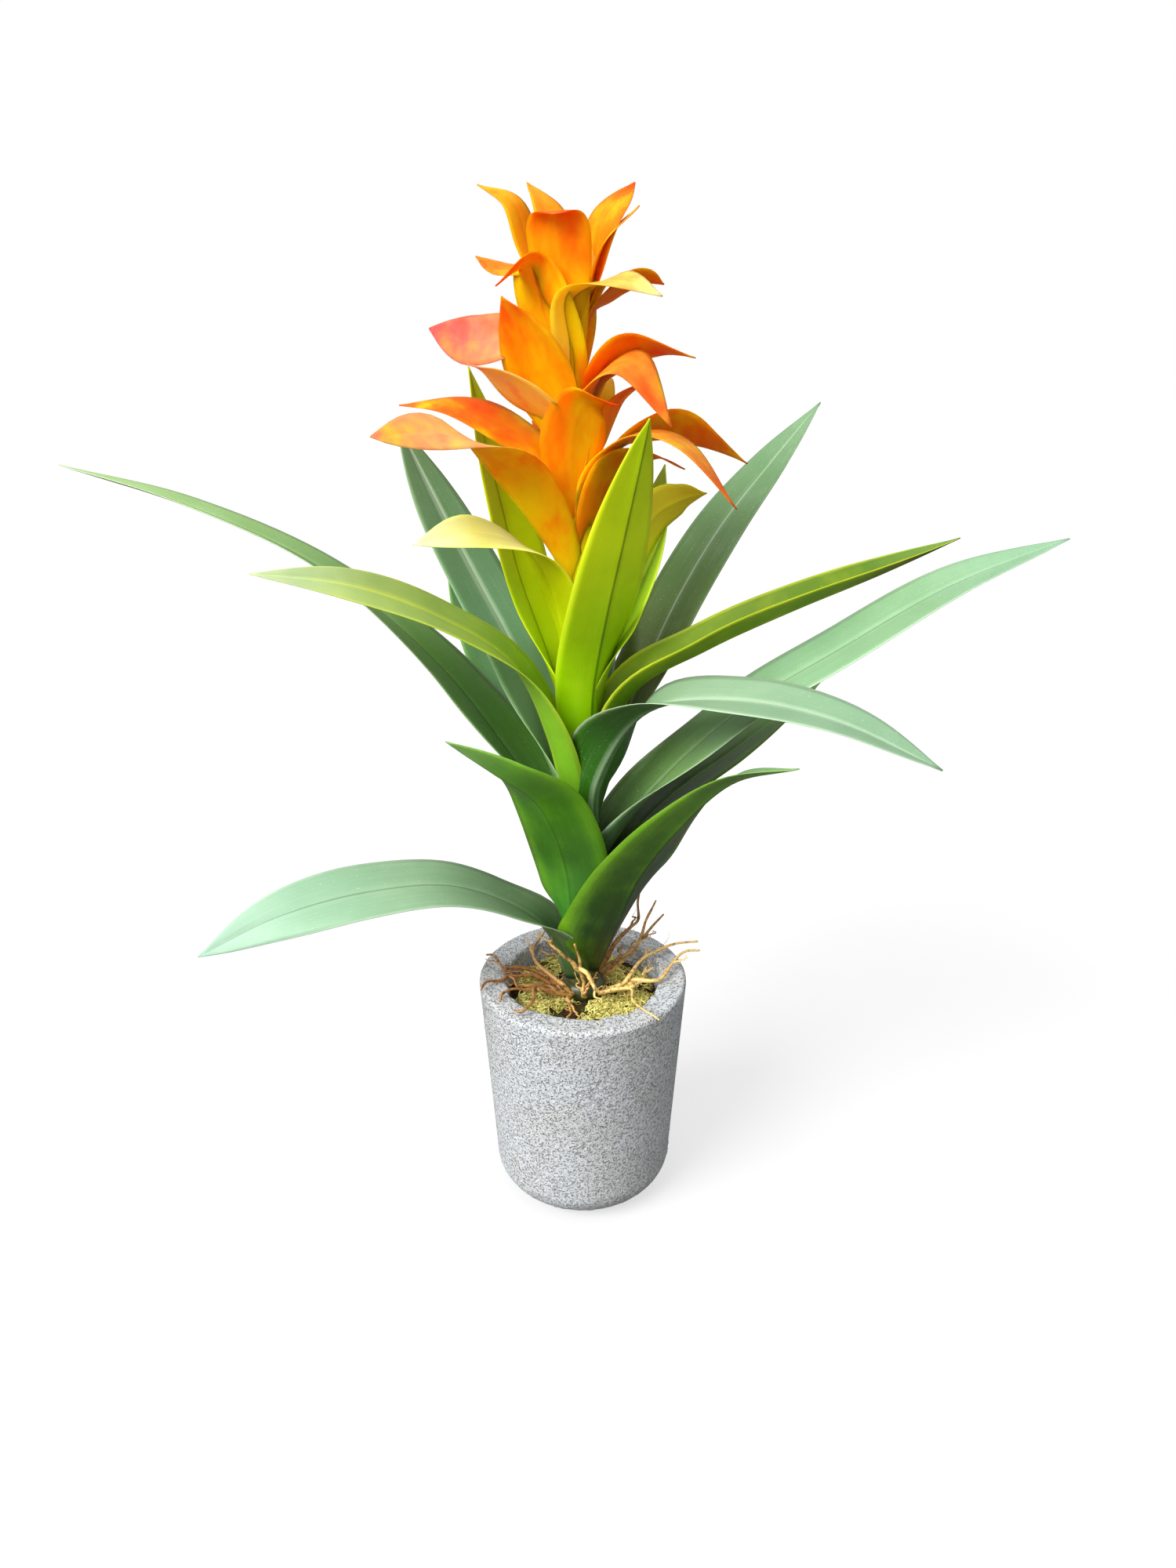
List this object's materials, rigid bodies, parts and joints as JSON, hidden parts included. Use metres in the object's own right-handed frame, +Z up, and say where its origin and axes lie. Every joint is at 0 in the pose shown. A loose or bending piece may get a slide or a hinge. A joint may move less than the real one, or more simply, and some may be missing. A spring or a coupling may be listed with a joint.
{
  "type": "potted guzmania bromeliad",
  "caption": "Upright bromeliad with arching strap leaves and a tall head of orange bracts, standing in soil and moss in a plain round pot with aerial roots over its rim.",
  "frame": {"origin": "centre of the pot's flat foot, on the surface it stands on", "axes": "+Z up along the pot's axis, +X towards the long mint leaf, -Y towards the front, where the tall young leaf stands before the bracts"},
  "size_m": [0.5137, 0.2355, 0.5544],
  "materials": {
    "concrete": "matt, fine pores",
    "soil": "matt, crumbly",
    "moss": "matt, curled strands",
    "root": "matt",
    "stem": "satin",
    "leaf_green": "satin",
    "leaf_dark": "satin",
    "leaf_mint": "satin",
    "leaf_lime": "satin",
    "leaf_olive": "satin",
    "bract_cream": "satin",
    "bract_orange": "satin"
  },
  "bodies": {
    "root": {"pot": "concrete", "soil": "soil", "moss": "moss", "roots": "root", "stem": "stem", "bloom": "bract_orange", "bract_olive_right": "leaf_olive", "bract_pale_left": "bract_cream", "leaf_far_left": "leaf_green", "leaf_mid_left": "leaf_lime", "leaf_front_left": "leaf_dark", "leaf_low_left": "leaf_mint", "leaf_back_left": "leaf_green", "leaf_back_left_low": "leaf_dark", "leaf_young_left": "leaf_olive", "leaf_young_front": "leaf_lime", "leaf_young_back": "leaf_lime", "leaf_back_right": "leaf_green", "leaf_right_upper": "leaf_olive", "leaf_right_long": "leaf_mint", "leaf_right_droop": "leaf_mint", "leaf_right_under": "leaf_dark", "leaf_front_right": "leaf_dark", "leaf_back_tall": "leaf_green", "leaf_back_short": "leaf_green"}
  },
  "joints": []
}
